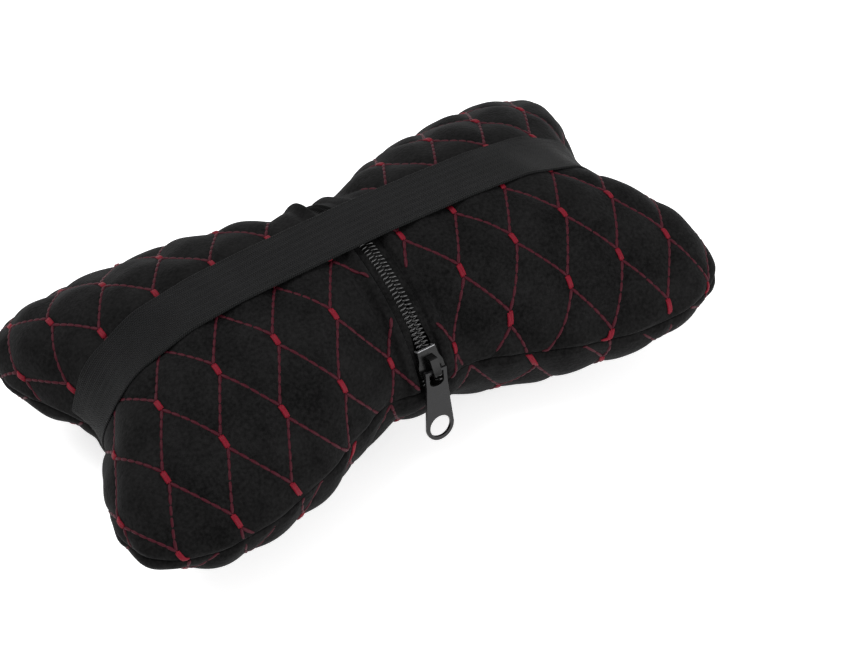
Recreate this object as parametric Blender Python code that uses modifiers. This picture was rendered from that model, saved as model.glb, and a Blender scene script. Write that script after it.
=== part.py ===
"""Car neck pillow: a bone-shaped cushion in quilted velour, lying on its front.

Two quilted covers meet at a seam that runs round the side. The upper one, the back of the
pillow, is split over the waist by a coil zip, and an elastic strap crosses it lengthways.
Inside is one soft filling. X runs along the pillow, Y across it, Z is up, and the origin is
on the surface it lies on, under its middle. All sizes are in metres.
"""

import math

import bmesh
import bpy
import numpy as np
from mathutils import Vector
from mathutils.geometry import delaunay_2d_cdt

# Outline of the seam: its distance from the middle, every 22.5 degrees from the end to the waist.
END_NOTCH = 0.1160
LOBE_TIP = 0.1440
LOBE_SIDE = 0.1040
SHOULDER = 0.0560
WAIST = 0.0538

# Heights of the two covers, at the level of the quilting stitches.
SEAM_HEIGHT = 0.040
CROWN_RISE = 0.0425
LOBE_RISE = 0.0085
SIDE_FALL = 0.029
BELLY_DEPTH = 0.054
REST_HEIGHT = 0.0012
WAIST_BLEND = 0.040
FULLNESS = 3.0
BELLY_FULLNESS = 0.75

# Quilted cloth: diamond pattern, padding and stitching.
DIAMOND_WIDTH = 0.0248
DIAMOND_LENGTH = 0.0474
QUILT_RISE = 0.0020
QUILT_ROUNDNESS = 0.45
KNOT_WARP = (0.45, 0.20)
CLOTH_WALL = 0.0012
SEAM_FADE = 0.0045
SEAM_GAP = 0.0003
LEFT_PATTERN = (-0.1035, -0.0308, -0.8)
RIGHT_PATTERN = (0.0269, -0.0369, 3.2)
FRONT_PATTERN = (0.0, 0.0233, 0.0)
HEM_EDGE = 0.0058
HEM_RISE = 0.0021
HEM_CREST = 0.0025
CLOTH_STEP = 0.0062
CELL_STEPS = 3

# Zip: two tapes, two coils, and a slider with its puller.
TAPE_DROP = 0.0018
TAPE_THICKNESS = 0.0005
TAPE_EDGE = 0.0011
TAPE_FLAT = 0.0060
TAPE_WIDTH = 0.0125
TAPE_SAG = 0.0014
ZIP_END_GAP = 0.0016
SLIDER_STOP = 0.0048
COIL_HEIGHT = 0.0022
COIL_WIDTH = 0.0030
TOOTH_PITCH = 0.0026
TOOTH_WIDTH = 0.00085
TOOTH_REACH = 0.0005
TOOTH_SLANT = 0.0005
PARTING_SHARE = 0.14
SLIDER_LENGTH = 0.0110
SLIDER_WIDTH = 0.0110
SLIDER_MOUTH = 0.0082
SLIDER_PLATE = 0.0011
SLIDER_LIP = 0.0007
LIP_INSET = 0.00006
LIP_REACH = 0.985
SLIDER_CORNER = 0.0008
SLIDER_FLARE = 0.0002
SLIDER_BREAKS = (0.3, -0.2, -0.78)
SLIDER_NOSE = 0.8
DIVIDER_WIDTH = 0.0014
DIVIDER_BREAKS = (-0.9, -0.45, -0.16)
DIVIDER_TIP = 0.3
BAIL_WIDTH = 0.0034
BAIL_THICKNESS = 0.0009
BAIL_WINDOW = 0.0030
BAIL_LENGTH = 0.0085
BAIL_BEND = 0.0012
BAIL_INSET = 0.0001
BAIL_ROUNDING = 0.0005
PULLER_LENGTH = 0.0318
PULLER_WIDTH = 0.0125
PULLER_NECK = 0.0096
PULLER_THICKNESS = 0.0012
PULLER_HOLE = 0.0094
PULLER_ARM = 0.0016
PULLER_WINDOW = 0.0066
WINDOW_ARCH = 0.7
PULLER_TILT = math.radians(9.5)
PULLER_LEAN = math.radians(-4.0)

# Elastic strap and filling.
STRAP_WIDTH = 0.0250
STRAP_THICKNESS = 0.0010
STRAP_LIFT = 0.0006
FILLING_GAP = 0.0018
ZIP_VALLEY = 0.0044
VALLEY_WIDTH = 0.016
GAP = 0.0003

# How finely the shapes are made.
UNIT_STEPS = 73
WARP_STEPS = 401
TAPE_STATIONS = 25
STRAP_STEP = 0.0055


def clear_scene():
    """Empty the file of its objects."""
    for old in list(bpy.data.objects):
        bpy.data.objects.remove(old, do_unlink=True)


def outline_radius(angle):
    """Distance of the seam from the middle: the cosine series through the five radii."""
    orders = np.arange(5)
    stations = orders * math.pi / 8
    radii = np.array([END_NOTCH, LOBE_TIP, LOBE_SIDE, SHOULDER, WAIST])
    series = np.linalg.solve(np.cos(2 * np.outer(stations, orders)), radii)
    return np.cos(2 * np.multiply.outer(np.asarray(angle, float), orders)) @ series


def zip_radius():
    """Radius of the arc from seam to seam over the waist, at stitch level."""
    return (WAIST**2 + CROWN_RISE**2) / (2 * CROWN_RISE)


def zip_centre_height():
    """Height of the middle of that arc."""
    return SEAM_HEIGHT + CROWN_RISE - zip_radius()


def zip_end():
    """Angle from the crown at which the zip stops, a little short of the seam."""
    return math.atan2(WAIST, zip_radius() - CROWN_RISE) - ZIP_END_GAP / zip_radius()


def cover_point(angle, reach, is_back):
    """Point of a cover at stitch level.

    angle is the direction from the middle and reach the share of the way to the seam. The back
    rises to its crown by a circular arc over the waist and by a fuller curve over the lobes.
    The front falls to a flat patch where the pillow lies on it.
    """
    angle, reach = np.broadcast_arrays(angle, reach)
    radius = outline_radius(angle) * reach
    x = radius * np.cos(angle)
    y = radius * np.sin(angle)
    if not is_back:
        full = np.sqrt(np.clip(1 - reach**BELLY_FULLNESS, 0, None))
        z = np.maximum(SEAM_HEIGHT - SEAM_GAP / 2 - BELLY_DEPTH * full, REST_HEIGHT)
        return np.stack([x, y, z], -1)
    full = np.sqrt(np.clip(1 - reach**FULLNESS, 0, None))
    arc = zip_radius()
    flank = math.sqrt(max(arc**2 - WAIST**2, 0))
    round_ = (np.sqrt(np.clip(arc**2 - (WAIST * reach) ** 2, 0, None)) - flank) / (arc - flank)
    waist = np.exp(-((x / WAIST_BLEND) ** 2))
    side = LOBE_SIDE * math.sin(math.pi / 4)
    rise = CROWN_RISE + LOBE_RISE * (x / END_NOTCH) ** 2 - (1 - waist) * SIDE_FALL * (y / side) ** 2
    z = SEAM_HEIGHT + SEAM_GAP / 2 + rise * (waist * round_ + (1 - waist) * full)
    return np.stack([x, y, z], -1)


def cover_normal(angle, reach, is_back):
    """Outward direction of a cover, from two short steps on its surface."""
    step = 0.002
    near = np.clip(reach - step, 0.02, None)
    far = near + step
    outward = cover_point(angle, far, is_back) - cover_point(angle, near, is_back)
    around = cover_point(angle + step, far, is_back) - cover_point(angle - step, far, is_back)
    normal = np.cross(outward, around)
    normal /= np.linalg.norm(normal, axis=-1, keepdims=True)
    return normal if is_back else -normal


def cloth_lengths(angle, is_back):
    """Length of cloth from the middle towards the seam, at even steps of the radial section."""
    reach = np.sin(np.linspace(0, math.pi / 2, UNIT_STEPS))
    points = cover_point(np.asarray(angle)[:, None], reach[None, :], is_back)
    steps = np.linalg.norm(np.diff(points, axis=1), axis=-1)
    return reach, np.concatenate([np.zeros((len(steps), 1)), np.cumsum(steps, axis=1)], axis=1)


def cloth_to_reach(flat, is_back):
    """Angle and reach of points given on the flat cloth."""
    angle = np.arctan2(flat[:, 1], flat[:, 0])
    reach, lengths = cloth_lengths(angle, is_back)
    away = np.hypot(flat[:, 0], flat[:, 1])
    return angle, np.array([np.interp(a, row, reach) for a, row in zip(away, lengths)])


def plan_to_cloth(plan, is_back, hold_back=0.0):
    """Flat-cloth place of points given in plan, pulled back from the seam by hold_back."""
    angle = np.arctan2(plan[:, 1], plan[:, 0])
    share = np.hypot(plan[:, 0], plan[:, 1]) / outline_radius(angle)
    reach, lengths = cloth_lengths(angle, is_back)
    away = np.array([np.interp(s, reach, row) for s, row in zip(share, lengths)]) - hold_back
    return np.stack([away * np.cos(angle), away * np.sin(angle)], -1)


def warp(place):
    """Zigzag coordinate along the pillow's width: it stands nearly still at each whole number.

    There two stitch lines run side by side for a few millimetres, as a red knot.
    """
    single, double = KNOT_WARP
    wave = single * np.sin(2 * math.pi * place) / (2 * math.pi)
    return place - wave - double * np.sin(4 * math.pi * place) / (4 * math.pi)


def unwarp(value):
    """The inverse of warp, read from one period of it."""
    period = np.linspace(0, 1, WARP_STEPS)
    whole = np.floor(value)
    return whole + np.interp(value - whole, warp(period), period)


def lattice_place(first, second, pattern):
    """Flat-cloth place of lattice point (first, second): whole numbers are stitch lines."""
    u = (first + second) * DIAMOND_WIDTH / 2
    v = unwarp(first - second) * DIAMOND_LENGTH / 2
    turn = math.radians(pattern[2])
    return np.stack(
        [
            pattern[0] + u * math.cos(turn) - v * math.sin(turn),
            pattern[1] + u * math.sin(turn) + v * math.cos(turn),
        ],
        -1,
    )


def quilt_height(flat, pattern):
    """How far the padding stands over the stitch lines at points of the flat cloth."""
    turn = math.radians(pattern[2])
    u = flat[:, 0] - pattern[0]
    v = flat[:, 1] - pattern[1]
    across = (u * math.cos(turn) + v * math.sin(turn)) * 2 / DIAMOND_WIDTH
    along = warp((v * math.cos(turn) - u * math.sin(turn)) * 2 / DIAMOND_LENGTH)
    first = (across + along) / 2
    second = (across - along) / 2
    swell = np.abs(np.sin(math.pi * first) * np.sin(math.pi * second))
    return QUILT_RISE * swell**QUILT_ROUNDNESS


def is_inside(points, polygon):
    """Whether each point lies inside a closed polygon, by counting edge crossings."""
    x, y = points[:, 0, None], points[:, 1, None]
    x0, y0 = polygon[:, 0], polygon[:, 1]
    x1, y1 = np.roll(x0, -1), np.roll(y0, -1)
    spans = (y0 > y) != (y1 > y)
    rise = np.where(y1 == y0, 1.0, y1 - y0)
    crossing = x0 + (y - y0) * (x1 - x0) / rise
    return (spans & (x < crossing)).sum(axis=1) % 2 == 1


def lattice_points(polygon, pattern):
    """Lattice points, CELL_STEPS to a diamond's side, that lie well inside a flat pattern piece."""
    count = CELL_STEPS * math.ceil(4 * LOBE_TIP / DIAMOND_WIDTH)
    steps = np.arange(-count, count + 1) / CELL_STEPS
    first, second = np.meshgrid(steps, steps)
    points = lattice_place(first.ravel(), second.ravel(), pattern)
    points = points[is_inside(points, polygon)]
    gaps = np.linalg.norm(points[:, None] - polygon[None], axis=-1).min(axis=1)
    return points[gaps > CLOTH_STEP * 0.5]


def resample(line, step):
    """Points at about even steps along an open line of points."""
    lengths = np.concatenate([[0], np.cumsum(np.linalg.norm(np.diff(line, axis=0), axis=1))])
    count = max(2, round(lengths[-1] / step) + 1)
    places = np.linspace(0, lengths[-1], count)
    return np.stack([np.interp(places, lengths, line[:, k]) for k in range(line.shape[1])], -1)


def seam_line(start, end, is_back):
    """The seam between two directions, on the flat cloth."""
    angle = np.linspace(start, end, 721)
    radius = outline_radius(angle)
    plan = np.stack([radius * np.cos(angle), radius * np.sin(angle)], -1)
    return resample(plan_to_cloth(plan, is_back, SEAM_GAP / 2), CLOTH_STEP)


def zip_side_line(x, is_back=True):
    """The line on the flat cloth that runs beside the zip at distance x from the middle."""
    angle = math.acos(x / WAIST)
    top = float(outline_radius(angle)) * math.sin(angle)
    y = np.linspace(top, -top, 181)
    plan = np.stack([np.full_like(y, x), y], -1)
    return resample(plan_to_cloth(plan, is_back, SEAM_GAP / 2), CLOTH_STEP)


def make_material(name, colour, roughness, metallic=0.0):
    """A plain Principled material."""
    material = bpy.data.materials.new(name)
    material.use_nodes = True
    shader = material.node_tree.nodes["Principled BSDF"]
    shader.inputs["Base Color"].default_value = (*colour, 1.0)
    shader.inputs["Roughness"].default_value = roughness
    shader.inputs["Metallic"].default_value = metallic
    material.diffuse_color = (*colour, 1.0)
    return material


def add_object(name, mesh, collection, material=None):
    """Link a mesh as a named object."""
    made = bpy.data.objects.new(name, mesh)
    collection.objects.link(made)
    if material is not None:
        mesh.materials.append(material)
    return made


def sew_panel(name, polygon, ridge, pattern, is_back, collection, material):
    """One panel of quilted cloth: cut flat, padded between its stitch lines and wrapped round.

    polygon is its cut edge on the flat cloth and ridge a line that stands up as the hem beside
    the zip. The cloth is one sheet of triangles with the stitch lines on its edges. A second
    layer under it and a strip round the cut edge close it.
    """
    inner = lattice_points(polygon, pattern)
    if len(ridge):
        clear = np.linalg.norm(inner[:, None] - ridge[None], axis=-1).min(axis=1)
        inner = inner[clear > CLOTH_STEP * 0.7]
    flat = np.concatenate([polygon, ridge, inner]) if len(ridge) else np.concatenate([polygon, inner])
    border = list(range(len(polygon)))
    cut = delaunay_2d_cdt([Vector(p) for p in flat], [], [border], 1, 1e-7)
    flat = np.array([tuple(p) for p in cut[0]])
    faces = [list(f) for f in cut[2]]
    came_from = [ids[0] if ids else -1 for ids in cut[3]]

    angle, reach = cloth_to_reach(flat, is_back)
    level = cover_point(angle, reach, is_back)
    outward = cover_normal(angle, reach, is_back)
    _, lengths = cloth_lengths(angle, is_back)
    to_seam = lengths[:, -1] - np.hypot(flat[:, 0], flat[:, 1])
    height = quilt_height(flat, pattern) * np.sqrt(np.clip(to_seam / SEAM_FADE, 0, 1))
    is_ridge = np.array([len(polygon) <= c < len(polygon) + len(ridge) for c in came_from])
    height[is_ridge] = HEM_RISE * np.sqrt(np.clip(to_seam[is_ridge] / SEAM_FADE, 0, 1))

    outer = level + outward * height[:, None]
    outer[:, 2] = np.maximum(outer[:, 2], 0.0)
    lining = level - outward * CLOTH_WALL
    count = len(flat)
    loop = sorted((i for i in range(count) if 0 <= came_from[i] < len(polygon)), key=lambda i: came_from[i])
    shell = [tuple(f) for f in faces]
    shell += [tuple(count + i for i in reversed(f)) for f in faces]
    shell += [(a, count + a, count + b, b) for a, b in zip(loop, loop[1:] + loop[:1])]
    if not is_back:
        shell = [tuple(reversed(f)) for f in shell]
    mesh = bpy.data.meshes.new(name)
    mesh.from_pydata([tuple(p) for p in np.concatenate([outer, lining])], [], shell)
    mesh.validate()
    return add_object(name, mesh, collection, material)


def make_back_panel(name, side, pattern, collection, material):
    """The quilted cover on one side of the zip. side is 1 for the right and -1 for the left."""
    start = math.acos(HEM_EDGE / WAIST)
    seam = seam_line(-start, start, True)
    hem = zip_side_line(HEM_EDGE)
    ridge = zip_side_line(HEM_EDGE + HEM_CREST)[1:-1]
    polygon = np.concatenate([seam[:-1], hem[:-1]])
    if side < 0:
        mirror = np.array([-1.0, 1.0])
        polygon = polygon[::-1] * mirror
        ridge = ridge * mirror
    return sew_panel(name, polygon, ridge, pattern, True, collection, material)


def make_front_panel(collection, material):
    """The quilted cover that the pillow lies on, in one piece."""
    polygon = seam_line(0, 2 * math.pi, False)[:-1]
    return sew_panel("front_panel", polygon, [], FRONT_PATTERN, False, collection, material)


def make_filling(collection, material):
    """The soft insert: a ball shaped to the inside of the covers, hollowed a little under the zip."""
    body = bmesh.new()
    bmesh.ops.create_uvsphere(body, u_segments=60, v_segments=14, radius=1.0)
    ball = np.array([tuple(v.co) for v in body.verts])
    angle = np.arctan2(ball[:, 1], ball[:, 0])
    reach = np.clip(np.hypot(ball[:, 0], ball[:, 1]), 0, 1)
    upper = ball[:, 2] > 0
    depth = CLOTH_WALL + FILLING_GAP
    back = cover_point(angle, reach, True)
    valley = ZIP_VALLEY * np.exp(-((back[:, 0] / VALLEY_WIDTH) ** 2))
    back -= cover_normal(angle, reach, True) * (depth + valley)[:, None]
    front = cover_point(angle, reach, False)
    front -= cover_normal(angle, reach, False) * (depth + valley * reach**8)[:, None]
    for vertex, point in zip(body.verts, np.where(upper[:, None], back, front)):
        vertex.co = point
    mesh = bpy.data.meshes.new("filling")
    body.to_mesh(mesh)
    body.free()
    mesh.shade_smooth()
    return add_object("filling", mesh, collection, material)


def on_zip(x, angle, height):
    """Place on the zip: angle from the crown towards the far side, height over the stitch level."""
    radius = zip_radius() + height
    return np.stack([x, radius * np.sin(angle), zip_centre_height() + radius * np.cos(angle)], -1)


def zip_sheet(name, place, thickness, side, skips, collection, material):
    """A sheet bent on to the arc of the zip and given its thickness.

    place gives x, angle and height for each row and column. skips says which of its faces are
    left out, as between teeth.
    """
    rows, columns = place.shape[0] - 1, place.shape[1] - 1
    body = bmesh.new()
    bmesh.ops.create_grid(body, x_segments=columns, y_segments=rows, size=0.5)
    spots = np.array([tuple(v.co) for v in body.verts])
    column = np.rint((spots[:, 0] + 0.5) * columns).astype(int)
    row = np.rint((spots[:, 1] + 0.5) * rows).astype(int)
    gaps = []
    for face in body.faces:
        middle = face.calc_center_median()
        if skips(int((middle.x + 0.5) * columns), int((middle.y + 0.5) * rows)):
            gaps.append(face)
    x, angle, height = np.moveaxis(place[row, column], -1, 0)
    for vertex, point in zip(body.verts, on_zip(side * x, angle, height)):
        vertex.co = point
    bmesh.ops.delete(body, geom=gaps, context="FACES")
    if side < 0:
        bmesh.ops.reverse_faces(body, faces=body.faces)
    mesh = bpy.data.meshes.new(name)
    body.to_mesh(mesh)
    body.free()
    made = add_object(name, mesh, collection, material)
    shell = made.modifiers.new("thickness", "SOLIDIFY")
    shell.thickness = thickness
    shell.offset = 1.0
    return made


def make_tape(name, side, collection, material):
    """The woven tape of one half of the zip.

    Its inner edge leaves room for the slider's divider. Its outer edge hangs a little lower, as
    the cover falls away from the zip.
    """
    angles = np.linspace(-zip_end(), zip_end(), TAPE_STATIONS)
    edges = np.array([TAPE_EDGE, TAPE_FLAT, TAPE_WIDTH])
    x, angle = np.meshgrid(edges, angles)
    height = -TAPE_DROP - TAPE_THICKNESS - TAPE_SAG * (x > TAPE_FLAT)
    place = np.stack([x, angle, height], -1)
    return zip_sheet(name, place, TAPE_THICKNESS, side, lambda c, r: False, collection, material)


def slider_rest_angle():
    """Where the slider stands when the zip is shut: its nose stops short of the zip's near end."""
    return zip_end() - (SLIDER_LENGTH / 2 + SLIDER_STOP) / zip_radius()


def coil_spread(angle):
    """How far a coil is pushed aside at an angle where the slider at rest parts it from the other."""
    behind = (-angle - slider_rest_angle()) * zip_radius()
    room = DIVIDER_WIDTH / 2 + GAP + TOOTH_REACH
    start = -SLIDER_LENGTH * PARTING_SHARE
    return room * np.clip((behind - start) / (-2 * start), 0, 1)


def make_coil(name, side, collection, material):
    """One coil of the zip: slanted teeth on a core, which mesh with those of the other coil."""
    radius = zip_radius() - TAPE_DROP
    teeth = int(2 * zip_end() * radius / TOOTH_PITCH) - 1
    pitch = TOOTH_PITCH / radius
    first = -zip_end() + pitch * (0.5 if side > 0 else 1.0)
    centres = first + pitch * np.arange(teeth)
    half = TOOTH_WIDTH / 2 / radius
    angles = np.stack([centres - half, centres + half], -1).ravel()
    lines = np.array([-TOOTH_REACH, TAPE_EDGE, COIL_WIDTH])
    x, angle = np.meshgrid(lines, angles)
    angle[:, 0] -= TOOTH_SLANT / radius
    height = np.full_like(x, -TAPE_DROP + GAP)
    place = np.stack([x + coil_spread(angle), angle, height], -1)
    between = lambda column, row: column == 0 and row % 2 == 1
    return zip_sheet(name, place, COIL_HEIGHT, side, between, collection, material)


def flat_shape(name, outlines, thickness):
    """A flat mesh with its thickness, from closed outlines, later ones being holes in the first."""
    curve = bpy.data.curves.new(name, "CURVE")
    curve.dimensions = "2D"
    curve.fill_mode = "BOTH"
    curve.extrude = thickness / 2
    for outline in outlines:
        spline = curve.splines.new("POLY")
        spline.points.add(len(outline) - 1)
        for point, (x, y) in zip(spline.points, outline):
            point.co = (x, y, 0.0, 1.0)
        spline.use_cyclic_u = True
    holder = bpy.data.objects.new(name, curve)
    bpy.context.scene.collection.objects.link(holder)
    shape = holder.evaluated_get(bpy.context.evaluated_depsgraph_get())
    mesh = bpy.data.meshes.new_from_object(shape)
    bpy.data.objects.remove(holder)
    body = bmesh.new()
    body.from_mesh(mesh)
    bmesh.ops.remove_doubles(body, verts=body.verts, dist=1e-6)
    bmesh.ops.recalc_face_normals(body, faces=body.faces)
    body.to_mesh(mesh)
    body.free()
    return mesh


def rounded(corners, radius, steps=4):
    """A closed outline with each of its corners rounded by an arc-like curve."""
    line = []
    count = len(corners)
    for i, corner in enumerate(corners):
        here = Vector(corner)
        before = Vector(corners[i - 1]) - here
        after = Vector(corners[(i + 1) % count]) - here
        cut = min(radius, before.length * 0.45, after.length * 0.45)
        start = here + before.normalized() * cut
        end = here + after.normalized() * cut
        for k in range(steps + 1):
            t = k / steps
            line.append(tuple(start * (1 - t) ** 2 + here * (2 * t * (1 - t)) + end * t**2))
    return line


def circle(x, y, radius, sides=28):
    """Points of a circle."""
    turns = np.arange(sides) * 2 * math.pi / sides
    return [(x + radius * math.cos(t), y + radius * math.sin(t)) for t in turns]


def leaning(outline, angle):
    """An outline turned about the origin in its own plane."""
    c, s = math.cos(angle), math.sin(angle)
    return [(c * x - s * y, s * x + c * y) for x, y in outline]


def slider_levels():
    """Heights, over the stitch level, of the slider's two plates and of its puller's axis."""
    upper = -TAPE_DROP + GAP + COIL_HEIGHT + GAP
    sag = SLIDER_LENGTH**2 / (8 * zip_radius())
    lower = -TAPE_DROP - TAPE_THICKNESS - GAP - sag
    axis = upper + SLIDER_PLATE + BAIL_WINDOW - GAP - PULLER_THICKNESS / 2
    return upper, lower, axis


def slider_side():
    """Half outline of the slider's plates, from its narrow mouth to its nose."""
    mouth, wide, half = SLIDER_MOUTH / 2, SLIDER_WIDTH / 2, SLIDER_LENGTH / 2
    taper, shoulder, cheek = SLIDER_BREAKS
    return [
        (mouth, half),
        (mouth + SLIDER_FLARE, half * taper),
        (wide, half * shoulder),
        (wide, half * cheek),
        (wide * SLIDER_NOSE, -half),
    ]


def slider_hinge():
    """Distance of the puller's axis from the slider's middle, towards its nose."""
    return SLIDER_LENGTH / 2 - BAIL_THICKNESS - GAP - PULLER_THICKNESS / 2 - BAIL_INSET


def slider_pieces():
    """The shapes that a slider is cast from: outline, turned on edge or not, thickness and place."""
    upper, lower, _ = slider_levels()
    side = slider_side()
    mirror = [(-x, y) for x, y in reversed(side)]
    plate = rounded(side + mirror, SLIDER_CORNER)
    lip_out = [(x - LIP_INSET, y * LIP_REACH) for x, y in side[:4]]
    lip_in = [(x - SLIDER_LIP, y) for x, y in lip_out]
    lip = lip_out + lip_in[::-1]
    lip_depth = upper + TAPE_DROP - GAP
    half = SLIDER_LENGTH / 2
    wedge = DIVIDER_WIDTH / 2
    blunt, flare, tip = (half * place for place in DIVIDER_BREAKS)
    divider = [
        (-wedge, blunt),
        (wedge, blunt),
        (wedge, flare),
        (wedge * DIVIDER_TIP, tip),
        (-wedge * DIVIDER_TIP, tip),
        (-wedge, flare),
    ]
    sink = SLIDER_PLATE / 2
    foot = upper + sink
    top = upper + SLIDER_PLATE + BAIL_WINDOW + BAIL_THICKNESS
    front = -half + BAIL_INSET
    back = front + BAIL_LENGTH
    arch = rounded(
        [
            (front, foot),
            (front, top),
            (back - BAIL_BEND, top),
            (back, foot),
            (back - BAIL_THICKNESS, foot),
            (back - BAIL_THICKNESS - BAIL_BEND, top - BAIL_THICKNESS),
            (front + BAIL_THICKNESS, top - BAIL_THICKNESS),
            (front + BAIL_THICKNESS, foot),
        ],
        BAIL_ROUNDING,
        3,
    )
    return [
        (plate, False, SLIDER_PLATE, upper + SLIDER_PLATE / 2),
        (plate, False, SLIDER_PLATE, lower - SLIDER_PLATE / 2),
        (lip, False, lip_depth + sink, upper + (sink - lip_depth) / 2),
        ([(-x, y) for x, y in lip], False, lip_depth + sink, upper + (sink - lip_depth) / 2),
        (divider, False, upper - lower + 2 * sink, (upper + lower) / 2),
        (arch, True, BAIL_WIDTH, 0.0),
    ]


def make_slider(collection, cutters, material):
    """The zip's slider: two plates joined by a divider, lips round the coils and a bail on top.

    Its origin is on the axis that it turns about as it follows the arc of the zip.
    """
    radius = zip_radius()
    parts = []
    for index, (outline, on_edge, thickness, place) in enumerate(slider_pieces()):
        mesh = flat_shape("slider_piece", [outline], thickness)
        for vertex in mesh.vertices:
            x, y, z = vertex.co
            vertex.co = (z, x, y + radius) if on_edge else (x, y, z + place + radius)
        piece = bpy.data.objects.new(f"slider_piece_{index}", mesh)
        (collection if index == 0 else cutters).objects.link(piece)
        parts.append(piece)
    slider = parts[0]
    slider.name = "zip_slider"
    slider.data.name = "zip_slider"
    slider.data.materials.append(material)
    for piece in parts[1:]:
        piece.hide_render = True
        piece.display_type = "WIRE"
        join = slider.modifiers.new("join", "BOOLEAN")
        join.operation = "UNION"
        join.object = piece
        piece.parent = slider
    slider.location = (0.0, 0.0, zip_centre_height())
    slider.rotation_euler.x = slider_rest_angle()
    return slider


def make_puller(slider, collection, material):
    """The puller: a flat tab with an arched window round the bail and a round hole near its tip.

    Its origin is on its hinge axis. It hangs past the slider's nose, leaning a little to one side.
    """
    neck, wide = PULLER_NECK / 2, PULLER_WIDTH / 2
    bar = PULLER_THICKNESS / 2
    tip = PULLER_LENGTH - wide
    outline = [(neck, bar), (-neck, bar), (-neck, -PULLER_WINDOW)]
    turns = np.linspace(math.pi, 2 * math.pi, 17)
    outline += [(wide * math.cos(t), wide * math.sin(t) - tip) for t in turns]
    outline += [(neck, -PULLER_WINDOW)]
    half_window = neck - PULLER_ARM
    spring = PULLER_WINDOW - half_window * WINDOW_ARCH
    window = [(half_window, -bar), (-half_window, -bar)]
    window += [(half_window * math.cos(t), WINDOW_ARCH * half_window * math.sin(t) - spring) for t in turns]
    hole = circle(0.0, -tip, PULLER_HOLE / 2)
    outlines = [leaning(line, PULLER_LEAN) for line in (outline, window, hole)]
    mesh = flat_shape("zip_puller", outlines, PULLER_THICKNESS)
    puller = add_object("zip_puller", mesh, collection, material)
    puller.parent = slider
    _, _, axis = slider_levels()
    puller.location = (0.0, -slider_hinge(), zip_radius() + axis)
    puller.rotation_euler.x = math.pi / 2 - slider_rest_angle() - PULLER_TILT
    return puller


def strap_route():
    """The line of the strap's underside over the middle of the pillow, seen from the side.

    The elastic is taut, so it is the convex line over the quilted back, as wide as the strap.
    """
    angle = np.linspace(0, 2 * math.pi, 361)
    reach = np.sin(np.linspace(0.01, math.pi / 2, 121))
    angle, reach = [a.ravel() for a in np.meshgrid(angle, reach)]
    points = cover_point(angle, reach, True)
    under = np.abs(points[:, 1]) < STRAP_WIDTH / 2 + GAP
    angle, reach, points = angle[under], reach[under], points[under]
    normal = cover_normal(angle, reach, True)
    flat = plan_to_cloth(points[:, :2], True)
    left = quilt_height(flat, LEFT_PATTERN)
    right = quilt_height(flat, RIGHT_PATTERN)
    height = np.where(points[:, 0] < 0, left, right)
    is_hem = np.abs(points[:, 0]) < HEM_EDGE + 2 * HEM_CREST
    height = np.where(is_hem, HEM_RISE, height)
    _, lengths = cloth_lengths(angle, True)
    to_seam = lengths[:, -1] - np.hypot(flat[:, 0], flat[:, 1])
    height = height * np.sqrt(np.clip(to_seam / SEAM_FADE, 0, 1)) + STRAP_LIFT
    line = (points + normal * height[:, None])[:, [0, 2]]
    line = line[np.lexsort((line[:, 1], line[:, 0]))]
    hull = []
    for point in line:
        while len(hull) > 1:
            along = hull[-1] - hull[-2]
            onward = point - hull[-2]
            if along[0] * onward[1] - along[1] * onward[0] < 0:
                break
            hull.pop()
        hull.append(point)
    return np.array(hull)


def make_strap(collection, material):
    """The elastic strap, sewn into the seam at both ends and taut over the back."""
    route = resample(strap_route(), STRAP_STEP)
    rows = len(route) - 1
    body = bmesh.new()
    bmesh.ops.create_grid(body, x_segments=rows, y_segments=1, size=0.5)
    for vertex in body.verts:
        station = round((vertex.co.x + 0.5) * rows)
        vertex.co = (route[station, 0], vertex.co.y * STRAP_WIDTH, route[station, 1])
    mesh = bpy.data.meshes.new("elastic_strap")
    body.to_mesh(mesh)
    body.free()
    strap = add_object("elastic_strap", mesh, collection, material)
    shell = strap.modifiers.new("thickness", "SOLIDIFY")
    shell.thickness = STRAP_THICKNESS
    shell.offset = 1.0
    return strap


def main():
    """Build the whole pillow."""
    clear_scene()
    pillow = bpy.data.collections.new("car_neck_pillow")
    cutters = bpy.data.collections.new("cutters")
    bpy.context.scene.collection.children.link(pillow)
    bpy.context.scene.collection.children.link(cutters)

    velour = make_material("velour", (0.012, 0.012, 0.013), 0.85)
    foam = make_material("foam", (0.75, 0.74, 0.70), 0.9)
    webbing = make_material("webbing", (0.016, 0.016, 0.017), 0.7)
    nylon = make_material("nylon", (0.012, 0.012, 0.013), 0.35)
    enamel = make_material("enamel", (0.015, 0.015, 0.016), 0.3, 0.6)

    make_back_panel("back_panel_left", -1, LEFT_PATTERN, pillow, velour)
    make_back_panel("back_panel_right", 1, RIGHT_PATTERN, pillow, velour)
    make_front_panel(pillow, velour)
    make_filling(pillow, foam)
    for word, side in (("left", -1), ("right", 1)):
        make_tape(f"zip_tape_{word}", side, pillow, webbing)
        make_coil(f"zip_coil_{word}", side, pillow, nylon)
    slider = make_slider(pillow, cutters, enamel)
    make_puller(slider, pillow, enamel)
    make_strap(pillow, webbing)


main()
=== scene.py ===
# %% [markdown]
# # A quilted car neck pillow
# The pillow is a bone-shaped cushion in black velour. Red thread quilts it in diamonds, a coil zip
# runs over its waist and an elastic strap crosses it lengthways. The frame already holds every
# piece as a plain solid at its real place, so this lesson makes the looks: cloth, thread, teeth
# and metal.

# %% Load the frame
import math

import bmesh
import bpy
import numpy as np
from mathutils import Matrix, Vector


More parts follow.
